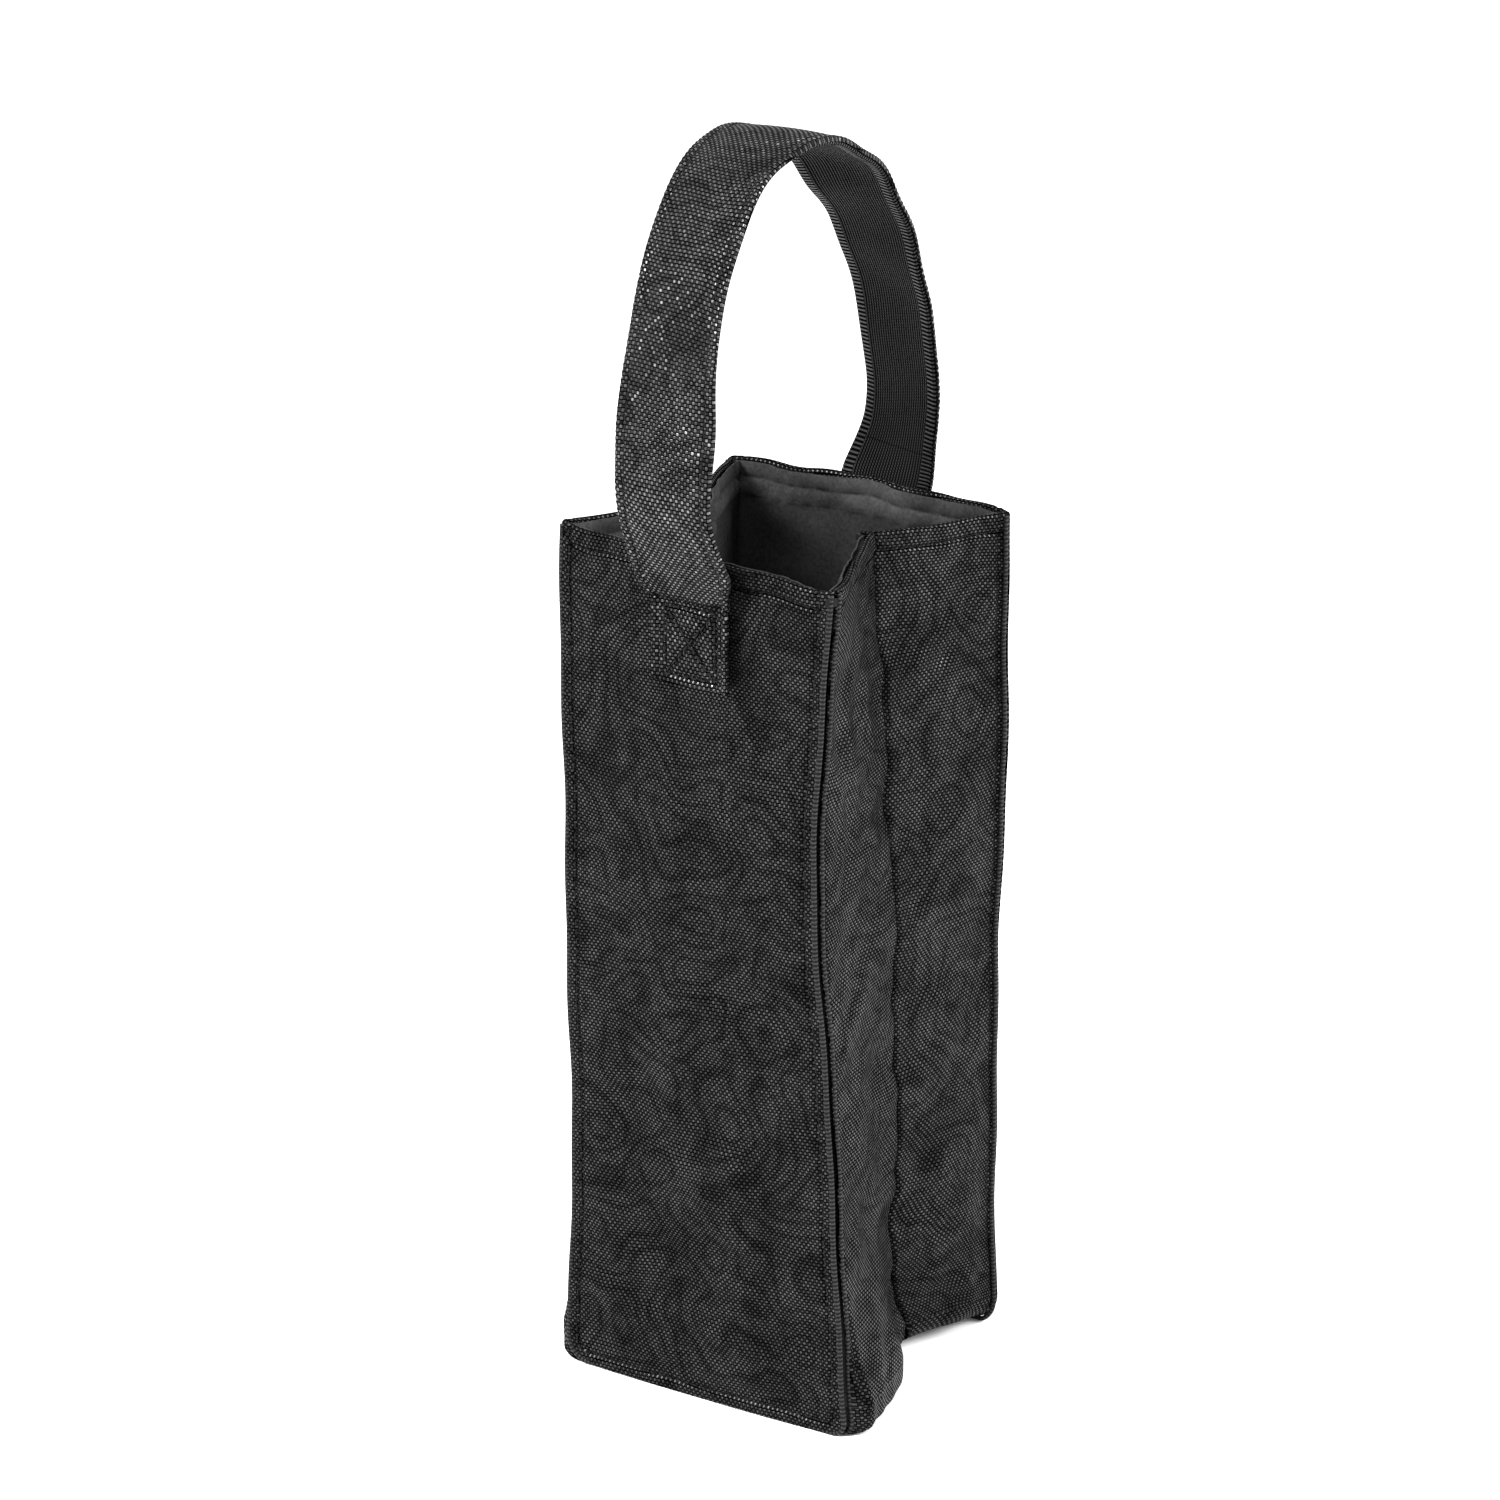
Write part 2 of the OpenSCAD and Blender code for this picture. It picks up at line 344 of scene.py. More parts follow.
def grid_normals(points, flip):
    """Unit normals of a grid of points, on the side its faces show."""
    normal = np.cross(np.gradient(points, axis=1), np.gradient(points, axis=0))
    normal /= np.maximum(np.linalg.norm(normal, axis=2), 1e-9)[..., None]
    return -normal if flip else normal


def sheet_object(name, points, normals, material, uv, flip=False, thickness=CLOTH_T):
    """A grid of points as cloth: a closed sheet, its second face grown inwards.

    The shading normals come from the whole cloth's grid, so that a cloth made in
    several lengths shows no line where they meet.
    """
    rows, cols = points.shape[:2]
    count = rows * cols
    outer = grid_faces(rows, cols, flip)
    inner = [tuple(k + count for k in reversed(face)) for face in outer]
    edge = (list(range(cols)) + [i * cols + cols - 1 for i in range(1, rows)]
            + [(rows - 1) * cols + j for j in range(cols - 2, -1, -1)]
            + [i * cols for i in range(rows - 2, 0, -1)])
    rim = []
    for a, b in zip(edge, edge[1:] + edge[:1]):
        quad = (b, a, a + count, b + count)
        rim.append(quad[::-1] if flip else quad)
    both = np.concatenate([points.reshape(-1, 3),
                           (points - normals * thickness).reshape(-1, 3)])
    both[:, 2] = np.maximum(both[:, 2], 0)  # nothing goes through the floor
    flat = np.concatenate([uv.reshape(-1, 2)] * 2)
    obj = add_object(name, both, outer + inner + rim, material, flat)
    way = normals.reshape(-1, 3)
    shading = np.concatenate([
        way[np.array(outer).ravel()], -way[np.array(inner).ravel() - count],
        np.zeros((4 * len(rim), 3)),
    ])
    obj.data.normals_split_custom_set(shading)
    return obj


def tube_rings(path, normal, radius, sides=8, bar=0.0):
    """Rings of a tube along a path, its radius waved by bar, and how far along each is."""
    path = np.asarray(path, float)
    tangent = unit(np.gradient(path, axis=0))
    across = unit(np.cross(tangent, np.broadcast_to(np.asarray(normal, float), path.shape)))
    out = np.cross(across, tangent)
    steps = travelled(path)
    r = radius + bar * np.cos(2 * math.pi * steps / BAR_PITCH)
    angle = np.linspace(0, 2 * math.pi, sides, endpoint=False)
    rings = (path[:, None, :]
             + across[:, None, :] * (np.cos(angle)[None, :] * r[:, None])[..., None]
             + out[:, None, :] * (np.sin(angle)[None, :] * r[:, None])[..., None])
    return rings, steps


def tube_mesh(rings, start):
    count, sides, _ = rings.shape
    faces = grid_faces(count, sides, closed=True, start=start)
    faces.append(tuple(start + j for j in reversed(range(sides))))
    faces.append(tuple(start + (count - 1) * sides + j for j in range(sides)))
    return rings.reshape(-1, 3), faces


def join_tubes(name, tubes, material):
    points, faces, uv, start = [], [], [], 0
    for rings, steps in tubes:
        p, f = tube_mesh(rings, start)
        points.append(p)
        faces += f
        around = np.tile(np.arange(rings.shape[1]) * 0.7, len(rings))
        uv.append(np.stack([around, np.repeat(steps, rings.shape[1])], -1))
        start += len(p)
    return add_object(name, np.concatenate(points), faces, material, np.concatenate(uv))


def resample(path, step):
    path = np.asarray(path, float)
    steps = travelled(path)
    count = max(2, int(round(steps[-1] / step)) + 1)
    at = np.linspace(0, steps[-1], count)
    return np.stack([np.interp(at, steps, path[:, k]) for k in range(3)], -1)


def stitches(name, lines, normal, radius=THREAD_R):
    """Separate stitches along lines: each a short thread that dives at both ends.

    normal is the cloth's, or a function that gives it along a stitch.
    """
    points, shown = 8, 0.7
    tubes = []
    for line in lines:
        fine = resample(line, STITCH_PITCH / points)
        for i in range(0, len(fine) - points, points):
            part = fine[i : i + 1 + int(points * shown)]
            t = np.linspace(0, 1, len(part))
            up = np.asarray(normal(part) if callable(normal) else normal, float)
            sink = radius * (1.2 * (2 * t - 1) ** 4 - 0.2)
            tubes.append(tube_rings(part - up * sink[:, None], up, radius, sides=6))
    return join_tubes(name, tubes, THREAD)


# --- Materials ---
class Nodes:
    """Small helper for building a material's node tree."""

    def __init__(self, name):
        self.material = bpy.data.materials.new(name)
        self.material.use_nodes = True
        self.tree = self.material.node_tree
        self.shader = self.tree.nodes["Principled BSDF"]

    def new(self, kind, **settings):
        node = self.tree.nodes.new(kind)
        for key, value in settings.items():
            setattr(node, key, value)
        return node

    def feed(self, socket, value):
        if hasattr(value, "is_linked"):
            self.tree.links.new(value, socket)
        else:
            socket.default_value = value

    def wire(self, node, **values):
        for name, value in values.items():
            self.feed(node.inputs[name], value)

    def set(self, name, value):
        """Sets an input of the shader, to a number or to a node's output."""
        self.feed(self.shader.inputs[name], value)

    def paint(self, colour, vary):
        """The base colour, made lighter or darker by vary."""
        shade = self.new("ShaderNodeVectorMath", operation="SCALE")
        self.feed(shade.inputs[0], colour)
        self.wire(shade, Scale=vary)
        self.set("Base Color", shade.outputs[0])

    def math(self, operation, a, b=0.0):
        node = self.new("ShaderNodeMath", operation=operation)
        self.feed(node.inputs[0], a)
        self.feed(node.inputs[1], b)
        return node.outputs[0]

    def plus(self, a, b):
        return self.math("ADD", a, b)

    def times(self, a, b):
        return self.math("MULTIPLY", a, b)

    def sine(self, a, factor):
        return self.math("SINE", self.times(a, factor))

    def step(self, value, start, end, a=0.0, b=1.0):
        node = self.new("ShaderNodeMapRange", interpolation_type="SMOOTHSTEP")
        for socket, v in zip(node.inputs, (value, start, end, a, b)):
            self.feed(socket, v)
        return node.outputs[0]

    def mix(self, share, a, b):
        node = self.new("ShaderNodeMix", data_type="RGBA")
        self.wire(node, Factor=share, A=a, B=b)
        return node.outputs["Result"]

    def noise(self, vector, scale, detail=2.0, rough=0.5):
        node = self.new("ShaderNodeTexNoise")
        self.wire(node, Vector=vector, Scale=scale, Detail=detail, Roughness=rough)
        return node.outputs["Fac"]

    def place(self):
        return self.new("ShaderNodeTexCoord").outputs["Object"]

    def cloth_uv(self):
        """Cloth coordinates in millimetres, along the weft and along the warp."""
        uv = self.new("ShaderNodeUVMap", uv_map="cloth").outputs["UV"]
        node = self.new("ShaderNodeSeparateXYZ")
        self.feed(node.inputs[0], uv)
        return uv, node.outputs[0], node.outputs[1]

    def bump(self, height, distance, strength):
        node = self.new("ShaderNodeBump")
        self.wire(node, Distance=distance * MM, Strength=strength, Height=height)
        self.set("Normal", node.outputs["Normal"])


def grey(level):
    return (level, level, level, 1.0)


def weave_material(name, weft, warp, dark, mid, bright, gloss, shine, glint=0.0):
    """A plain weave of thick yarns, its light painted into the colour: warp crowns painted
    bright as highlights, weft crowns less bright, and the gaps between yarns painted dark as
    shade.

    weft and warp are the yarns' widths. glint is how bright the glints painted on
    some crowns are.
    """
    n = Nodes(name)
    uv, along_weft, along_warp = n.cloth_uv()
    skew_u = n.math("SUBTRACT", n.noise(uv, 0.035, 1.0), 0.5)
    skew_v = n.math("SUBTRACT", n.noise(n.place(), 28.0, 1.0), 0.5)
    u = n.math("DIVIDE", n.plus(along_weft, n.times(skew_u, 4.0)), weft)
    v = n.math("DIVIDE", n.plus(along_warp, n.times(skew_v, 5.0)), warp)
    su = n.sine(u, math.pi)
    sv = n.sine(v, math.pi)
    cover = n.times(n.step(n.math("ABSOLUTE", su), 0.05, 0.6),
                    n.step(n.math("ABSOLUTE", sv), 0.22, 0.8))
    crown = n.times(cover, n.step(n.times(su, sv), -0.05, 0.15))
    under = n.math("SUBTRACT", cover, crown)
    cell = n.new("ShaderNodeCombineXYZ")
    n.feed(cell.inputs[0], n.math("FLOOR", u))
    n.feed(cell.inputs[1], n.math("FLOOR", v))
    white = n.new("ShaderNodeTexWhiteNoise", noise_dimensions="2D")
    n.wire(white, Vector=cell.outputs[0])
    chance = white.outputs["Value"]
    each = n.step(chance, 0.0, 1.0, 0.72, 1.28)
    patchy = n.step(n.noise(n.place(), 60.0, 3.0, 0.6), 0.32, 0.68, 0.7, 1.25)
    # Curving dark lines painted into the colour as shade in the cloth's crinkles.
    painted_crinkle_shade = n.step(n.sine(n.noise(uv, 0.03, 1.0), 72.0), -1.0, -0.2, 0.66, 1.06)
    vary = n.times(each, n.times(patchy, painted_crinkle_shade))
    # Painted light and shade: gaps dark as shade, weft crowns a middle grey, warp crowns bright
    # as highlights.
    lit = n.mix(crown, n.mix(under, grey(dark), grey(mid)), grey(bright))
    if glint:
        # Painted glints: a few crowns, in some patches, painted bright grey as highlights.
        painted_glint_mask = n.times(n.step(chance, 0.8, 1.0),
                        n.step(n.noise(n.place(), 45.0, 2.0), 0.5, 0.62))
        lit = n.mix(n.times(painted_glint_mask, crown), lit, grey(glint))
        vary = n.times(vary, n.step(along_warp, 26.0, 36.0, 0.6, 1.0))
    n.paint(lit, vary)
    n.set("Roughness", n.step(crown, 0.0, 1.0, 0.8, gloss))
    sheen = n.plus(n.times(crown, shine), n.times(under, shine * 0.28))
    n.set("Specular IOR Level", n.times(sheen, vary))
    n.bump(n.plus(crown, n.times(under, 0.6)), 0.2, 0.6)
    return n.material


def ridge_material():
    """Cloth turned over the seam allowance, its yarns crossing the ridge as bars."""
    n = Nodes("seam_ridge")
    uv, _, along = n.cloth_uv()
    bars = n.math("COSINE", n.times(along, 2 * math.pi / BAR_PITCH))
    bar = n.step(bars, -0.35, 0.75)
    vary = n.step(n.noise(uv, 0.8, 3.0), 0.25, 0.75, 0.45, 1.45)
    # The bars painted lighter as highlights, and the gaps between them darker as shade.
    n.paint(n.mix(bar, grey(0.005), grey(0.010)), vary)
    n.set("Specular IOR Level", n.step(bar, 0.0, 1.0, 0.08, 0.24))
    n.set("Roughness", n.step(bar, 0.0, 1.0, 0.85, 0.5))
    n.bump(n.plus(bar, n.times(n.noise(uv, 4.0, 2.0), 0.5)), 0.12, 0.5)
    return n.material


def webbing_material():
    """Ribbed webbing with a ladder of bars along each edge."""
    n = Nodes("webbing")
    _, u, v = n.cloth_uv()
    edge = n.step(n.math("ABSOLUTE", u), STRAP_HALF_W - 5.0, STRAP_HALF_W - 4.4)
    ribs = n.sine(u, 2 * math.pi / 1.05)
    twill = n.sine(n.plus(v, n.times(u, 0.6)), 2 * math.pi / 0.9)
    ground = n.step(n.plus(ribs, n.times(twill, 0.55)), -0.6, 1.3)
    bars = n.step(n.sine(v, 2 * math.pi / 1.35), -0.2, 0.6)
    height_mix = n.new("ShaderNodeMix", data_type="FLOAT")
    n.wire(height_mix, Factor=edge, A=n.times(ground, 0.6), B=bars)
    height = height_mix.outputs["Result"]
    vary = n.step(n.noise(n.place(), 70.0, 2.0), 0.3, 0.7, 0.75, 1.25)
    # Raised ribs and bars painted lighter as highlights, the grooves between darker as shade.
    n.paint(n.mix(height, grey(0.001), grey(0.0085)), vary)
    n.set("Specular IOR Level", n.times(height, 0.26))
    n.set("Roughness", n.step(height, 0.0, 1.0, 0.8, 0.48))
    n.bump(height, 0.16, 0.8)
    return n.material


def lining_material(name, level):
    """Matt non-woven lining with a fine felted surface."""
    n = Nodes(name)
    place = n.place()
    fibre = n.noise(place, 900.0, 4.0, 0.65)
    cloud = n.noise(place, 60.0, 3.0)
    mixed = n.plus(n.times(fibre, 0.6), n.times(cloud, 0.4))
    n.set("Base Color", n.mix(n.step(mixed, 0.3, 0.7), grey(level * 0.6), grey(level * 1.45)))
    n.set("Roughness", n.step(fibre, 0.3, 0.7, 0.95, 0.75))
    n.set("Specular IOR Level", 0.08)
    n.bump(fibre, 0.12, 0.6)
    return n.material


def thread_material():
    """Twisted sewing thread."""
    n = Nodes("stitching")
    _, around, along = n.cloth_uv()
    twist = n.sine(n.plus(n.times(along, 2.2), around), 2 * math.pi / 0.9)
    lit = n.step(twist, -0.6, 0.9)
    # The twist's ridges painted lighter as highlights, the grooves darker as shade.
    n.set("Base Color", n.mix(lit, grey(0.002), grey(0.008)))
    n.set("Specular IOR Level", 0.12)
    n.set("Roughness", n.step(n.noise(n.place(), 300.0), 0.3, 0.7, 0.45, 0.7))
    n.bump(lit, 0.05, 0.7)
    return n.material


BAG_WEAVE = weave_material("bag_weave", weft=0.78, warp=0.98, dark=0.0002, mid=0.0022,
                           bright=0.0085, gloss=0.38, shine=0.32)
STRAP_WEAVE = weave_material("strap_weave", weft=0.98, warp=1.12, dark=0.0002, mid=0.003,
                             bright=0.0155, gloss=0.28, shine=0.75, glint=0.13)
RIDGE = ridge_material()
WEBBING = webbing_material()
LINING = lining_material("lining", 0.016)
FACING = lining_material("hem_facing", 0.029)
THREAD = thread_material()


# --- Camera, floor and lights ---
def add_camera():
    azimuth, elevation = math.radians(32.5), math.radians(19.5)
    distance = 1.5
    target = Vector((-0.011 * math.cos(azimuth), -0.011 * math.sin(azimuth), 0.1964))
    back = Vector((math.sin(azimuth) * math.cos(elevation),
                   -math.cos(azimuth) * math.cos(elevation), math.sin(elevation)))
    data = bpy.data.cameras.new("camera")
    data.sensor_width = 36
    data.lens = 119.3
    camera = link(bpy.data.objects.new("camera", data))
    camera.location = target + back * distance
    camera.rotation_euler = (-back).to_track_quat("-Z", "Y").to_euler()
    bpy.context.scene.camera = camera


def add_area_light(name, location, target, size, power):
    data = bpy.data.lights.new(name, "AREA")
    data.shape = "RECTANGLE"
    data.size, data.size_y = size
    data.energy = power
    light = link(bpy.data.objects.new(name, data))
    light.location = location
    aim = Vector(target) - Vector(location)
    light.rotation_euler = aim.to_track_quat("-Z", "Y").to_euler()


def add_studio():
    bpy.ops.mesh.primitive_plane_add(size=60.0, location=(0, 0, 0))
    floor = bpy.context.object
    floor.name = "studio_floor"
    n = Nodes("studio_floor")
    n.set("Base Color", grey(0.97))
    n.set("Roughness", 0.9)
    n.set("Specular IOR Level", 0.1)
    floor.data.materials.append(n.material)
    world = bpy.data.worlds.new("studio")
    world.use_nodes = True
    background = world.node_tree.nodes["Background"]
    background.inputs["Color"].default_value = grey(1.0)
    background.inputs["Strength"].default_value = 1.0
    bpy.context.scene.world = world
    bpy.context.scene.view_settings.view_transform = "Standard"
    aim = (0, 0, 0.2)
    add_area_light("key", (-0.7, -1.3, 1.3), aim, (0.6, 0.6), 62)
    add_area_light("side", (1.3, 0.6, 0.9), aim, (0.7, 0.7), 40)
    add_area_light("top", (0.4, -0.7, 1.9), aim, (0.6, 0.6), 40)


# --- Panels ---
def panel_columns():
    """Positions across a panel, from -1 to 1, close together by the seams."""
    near = np.array([0, 0.4, 0.8, 1.3, 1.9, 2.5, 3.0, 3.4, 3.8, 4.2, 4.6, 5.2, 6.0, 7.0, 8.2])
    middle = np.linspace(9.6, HALF_W, 27)
    half = np.concatenate([near, middle])
    left = -1 + half / HALF_W
    return np.concatenate([left, -left[-2::-1]])


def panel_rows():
    near = np.array([0.05, 0.5, 1.0, 1.6, 2.2, 2.8, 3.3, 3.8, 4.3, 4.9, 5.6, 6.5, 7.6, 9.0])
    return np.concatenate([near, np.arange(10.6, HEM_STITCH - 3, ROW_STEP), HEM_ROWS])


def roll_over(points, u, v, inward):
    """Turns a grid's top row over to the inside and a little way down, with its uv."""
    top = points[-1]
    rows = []
    for angle in np.linspace(0, math.pi, 7)[1:]:
        shift = inward * ROLL_R * (1 - math.cos(angle))
        rows.append(top + shift + np.array([0, 0, ROLL_R * math.sin(angle)]))
    rows.append(rows[-1] - np.array([0, 0, 1.4]))
    count = len(rows)
    extra = v[-1] + (np.arange(1, count + 1) * ROLL_R * math.pi / count)[:, None]
    uv = np.stack([np.concatenate([u, np.repeat(u[-1:], count, 0)]),
                   np.concatenate([v, extra])], -1)
    return np.concatenate([points, np.array(rows)], 0), uv


def panel_surface(end, u, z, lining=False, sewn_on=False):
    """Finished position of a panel's outer cloth, of its lining, or under a sewn-on strap."""
    x, y, z, half = panel_point(end, u, z, LINING_IN if lining else 0.0)
    gap = edge_gap(end, u, z, half)
    if sewn_on:
        relief = 0.15 * panel_wrinkles(end, x, z, gap)
    elif lining:
        relief = panel_wrinkles(end, x, z, gap)
    else:
        drop = RIM - z
        calm = 1 - 0.75 * bell(drop, 14)
        under_patch = (ramp(np.abs(x), STRAP_HALF_W + 6, STRAP_HALF_W - 4)
                       * ramp(z, PATCH_LOW - 10, PATCH_LOW))
        relief = panel_wrinkles(end, x, z, gap) * calm * (1 - 0.85 * under_patch)
        relief = relief + patch_pull(x, z) * (1 - under_patch)
        relief = relief + seam_relief(gap) + hem_relief(drop) * ramp(gap, 1.0, 4.0)
        curl = 1.1 * (1 - np.sqrt(1 - (1 - np.clip(gap / 0.9, 0, 1)) ** 2))
        relief = relief - curl
    y = y + end * relief
    return np.stack([x, y, z - rim_shift(x, y, z)], -1)


def make_panel(end, prefix):
    u, z = np.meshgrid(panel_columns(), panel_rows())
    points = panel_surface(end, u, z)
    points, uv = roll_over(points, points[..., 0], z, np.array([0, -end, 0]))
    obj = sheet_object(f"{prefix}_cloth", points, grid_normals(points, end > 0), BAG_WEAVE, uv,
                       flip=end > 0)
    attach(obj, f"{prefix}_panel", f"{prefix}_panel")


# --- Seam ridges and stitch lines round the panels ---
def outline_path(end, inset, depth, step=0.33):
    """A U down one side, round the bottom and up the other, inset from the outline."""
    arc = np.linspace(0, math.pi / 2, 24)
    halves = []
    for side in (-1, 1):
        full = corner_radius(side, end)
        r = full - inset
        leg = np.arange(RIM - 1.0, full, -step * 2)
        z = np.concatenate([leg, full - r * np.sin(arc)])
        gap = np.concatenate([np.full(len(leg), inset), full - r * np.cos(arc)])
        x, y = corner(side, end, z)
        half = np.stack([x - side * gap, y - end * depth, z], -1)
        halves.append(half if side < 0 else half[::-1])
    return resample(np.concatenate(halves), step)


def make_ridge(end, prefix):
    """Two beads side by side: one on the panel's face and one on the gusset's."""
    tubes = []
    for inset, depth, radius, bar in ((0.9, 0.0, BEAD_R, 0.03), (-0.3, 2.6, BEAD_R * 0.85, 0.01)):
        path = outline_path(end, inset, depth)
        path[:, 2] -= rim_shift(*path.T)
        path[:, 2] = np.maximum(path[:, 2], radius)
        tubes.append(tube_rings(path, (0, end, 0), radius, bar=bar))
    obj = join_tubes(f"{prefix}_ridge", tubes, RIDGE)
    attach(obj, f"{prefix}_panel", f"{prefix}_edge_seam")


def on_panel(end, x, z, lift):
    """Points of a panel's outer cloth at given x and z."""
    middle, _, _, half = panel_point(end, np.zeros_like(x), z)
    u = np.clip((x - middle) / half, -1, 1)
    points = panel_surface(end, u, z)
    points[..., 1] += end * lift
    return points


def make_edge_stitches(end, prefix):
    flat = outline_path(end, EDGE_STITCH, 0.0, step=0.4)
    line = on_panel(end, flat[:, 0], np.minimum(flat[:, 2], RIM - 1.5), THREAD_LIFT)
    obj = stitches(f"{prefix}_edge_stitches", [line], (0, end, 0))
    attach(obj, f"{prefix}_panel", f"{prefix}_edge_thread")


def make_hem_stitches(end, prefix):
    lines = []
    for side in (-1, 1):
        x = np.linspace(side * (HALF_W - EDGE_STITCH - 2), side * (STRAP_HALF_W - 3), 90)
        lines.append(on_panel(end, x, np.full_like(x, HEM_STITCH), THREAD_LIFT))
    obj = stitches(f"{prefix}_hem_stitches", lines, (0, end, 0))
    attach(obj, f"{prefix}_panel", f"{prefix}_hem_thread")


def make_tacks(end, prefix):
    """Bar tacks across the two seam ridges at the rim: thread wound side by side."""
    turns, top, pitch = 5, RIM - 2.2, 0.5
    tubes = []
    for side in (-1, 1):
        for k in range(turns):
            z = top - pitch * k
            x, y = corner(side, end, np.array([z]))
            t = np.linspace(0, 1, 9)
            angle = t * math.pi / 2
            path = np.stack([
                x[0] - side * (1.9 - 2.2 * np.sin(angle)),
                y[0] + end * (1.2 - 3.6 * (1 - np.cos(angle))),
                np.full_like(t, z) - rim_drop(x, y)[0],
            ], -1)
            tubes.append(tube_rings(path, (0, 0, 1), THREAD_R, sides=6))
    obj = join_tubes(f"{prefix}_tacks", tubes, THREAD)
    attach(obj, f"{prefix}_panel", f"{prefix}_corner_tacks")


# --- Gussets ---
# The gusset's cloth is cut where each half is straight, into one stretch at each seam
# and one at the crease.
CUT = 0.5


def gusset_columns():
    seam = np.array([0, 0.5, 1.0, 1.6, 2.2, 2.8, 3.3, 3.8, 4.3, 4.9, 5.7, 6.8, 8.2]) / HINGE[1]
    half = np.concatenate([np.linspace(0, 0.08, 7)[:-1], np.linspace(0.08, CUT, 14)[:-1],
                           np.linspace(CUT, 1 - seam[-1], 9)[:-1], 1 - seam[::-1]])
    return np.concatenate([-half[:0:-1], half])


def gusset_rows():
    start = np.array([CORNER_R, CORNER_R + 1.0])
    middle = np.arange(CORNER_R + 2.4, HEM_STITCH - 3, ROW_STEP)
    return np.concatenate([start, middle, HEM_ROWS])


def gusset_surface(side, t, z, lining=False):
    x, y, z = gusset_point(side, t, z, LINING_IN if lining else 0.0)
    gap = (1 - np.abs(t)) * HINGE[1]
    if lining:
        relief = gusset_wrinkles(side, y, z, gap)
    else:
        drop = RIM - z
        calm = 1 - 0.6 * bell(drop, 12)
        relief = gusset_wrinkles(side, y, z, gap) * calm
        relief = relief + 0.8 * seam_relief(gap) + hem_relief(drop) * ramp(gap, 1.0, 4.0)
    x = x + side * relief
    limit = np.abs(corner(side, -1, z)[1]) - 2.3
    y = np.clip(y, -limit, limit)
    return np.stack([x, y, z - rim_shift(x, y, z)], -1)


def gusset_bodies(side):
    word = "right" if side > 0 else "left"
    return word, f"{word}_front_gusset", f"{word}_rear_gusset"


def gusset_cloth(side, kind, points, uv, t, material, flip, thickness):
    """A gusset's cloth, in a stretch at each seam and one at the crease."""
    word, front, rear = gusset_bodies(side)
    normals = grid_normals(points, flip)
    near = 1e-6
    spans = {"front_seam": t <= -CUT + near, "crease": np.abs(t) <= CUT + near,
             "rear_seam": t >= CUT - near}
    made = {label: sheet_object(f"{word}_{kind}_{label}", points[:, mask], normals[:, mask],
                                material, uv[:, mask], flip, thickness)
            for label, mask in spans.items()}
    near, far, crease_half = 5 * MM, 21 * MM, 4 * MM
    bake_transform(made["front_seam"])
    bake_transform(made["crease"])
    if side > 0:
        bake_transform(made["rear_seam"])
    else:
        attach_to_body(made["rear_seam"], rear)
    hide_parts(f"{word}_front_{kind}")
    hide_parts(f"{word}_front_{kind}", f"{word}_rear_{kind}")
    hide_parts(f"{word}_rear_{kind}")


def make_gusset(side):
    columns = gusset_columns()
    t, z = np.meshgrid(columns, gusset_rows())
    points = gusset_surface(side, t, z)
    width = travelled(points[len(points) // 2])
    points, uv = roll_over(points, np.broadcast_to(width, t.shape), z, np.array([-side, 0, 0]))
    gusset_cloth(side, "gusset", points, uv, columns, BAG_WEAVE, side < 0, CLOTH_T)


def make_gusset_stitches(side):
    _, front, rear = gusset_bodies(side)
    for body, sign in ((front, -1), (rear, 1)):
        t = sign * np.linspace(0.06, 0.9, 80)
        line = gusset_surface(side, t, np.full_like(t, HEM_STITCH))
        line[:, 0] += side * THREAD_LIFT
        obj = stitches(f"{body}_hem_stitches", [line], (side, 0, 0))
        attach(obj, body, body.replace("gusset", "thread"))


# --- Lining and hem facing ---
def facing_relief(a, z):
    """Two padded bands with small gathers, divided by stitch lines."""
    drop = RIM - z
    band = (RIM - FACING_LOW) / 2
    pillow = 0.85 * np.abs(np.sin(math.pi * np.clip(drop, 0, 2 * band) / band)) ** 0.6
    gathers = 0.4 * np.sin(a / 1.15 + 2.2 * waves(a, z * 0.3, 22, 71)) * (pillow / 0.85)
    return (pillow + gathers) * (drop < 2 * band)


def lining_kinds(start):
    """The lining, from height start, and the facing above it."""
    lining = np.concatenate([np.arange(start, FACING_LOW - 1, 2.4), [FACING_LOW]])
    facing = np.linspace(FACING_LOW - 0.3, RIM - 0.9, 22)
    return ("lining", lining, LINING, "lining"), ("hem", facing, FACING, "hem_facing")


def make_panel_lining(end, prefix):
    columns = np.linspace(-1, 1, 61) * (1 - 1.2 / HALF_W)
    for kind, rows, material, slot in lining_kinds(0.8):
        u, z = np.meshgrid(columns, rows)
        points = panel_surface(end, u, z, lining=True)
        if kind == "hem":
            points[..., 1] -= end * facing_relief(points[..., 0], z)
        obj = sheet_object(f"{prefix}_{kind}_cloth", points, grid_normals(points, end < 0),
                           material, np.stack([points[..., 0], z], -1), end < 0, -LINING_T)
        attach(obj, f"{prefix}_panel", f"{prefix}_{kind}")


def make_gusset_lining(side):
    half = np.concatenate([np.linspace(0, 0.1, 5)[:-1], np.linspace(0.1, CUT, 12)[:-1],
                           np.linspace(CUT, 0.97, 12)])
    columns = np.concatenate([-half[:0:-1], half])
    for kind, rows, material, slot in lining_kinds(CORNER_R):
        t, z = np.meshgrid(columns, rows)
        points = gusset_surface(side, t, z, lining=True)
        if kind == "hem":
            points[..., 0] -= side * facing_relief(points[..., 1], z)
        gusset_cloth(side, kind, points, points[..., 1:], columns, material, side > 0,
                     -LINING_T)


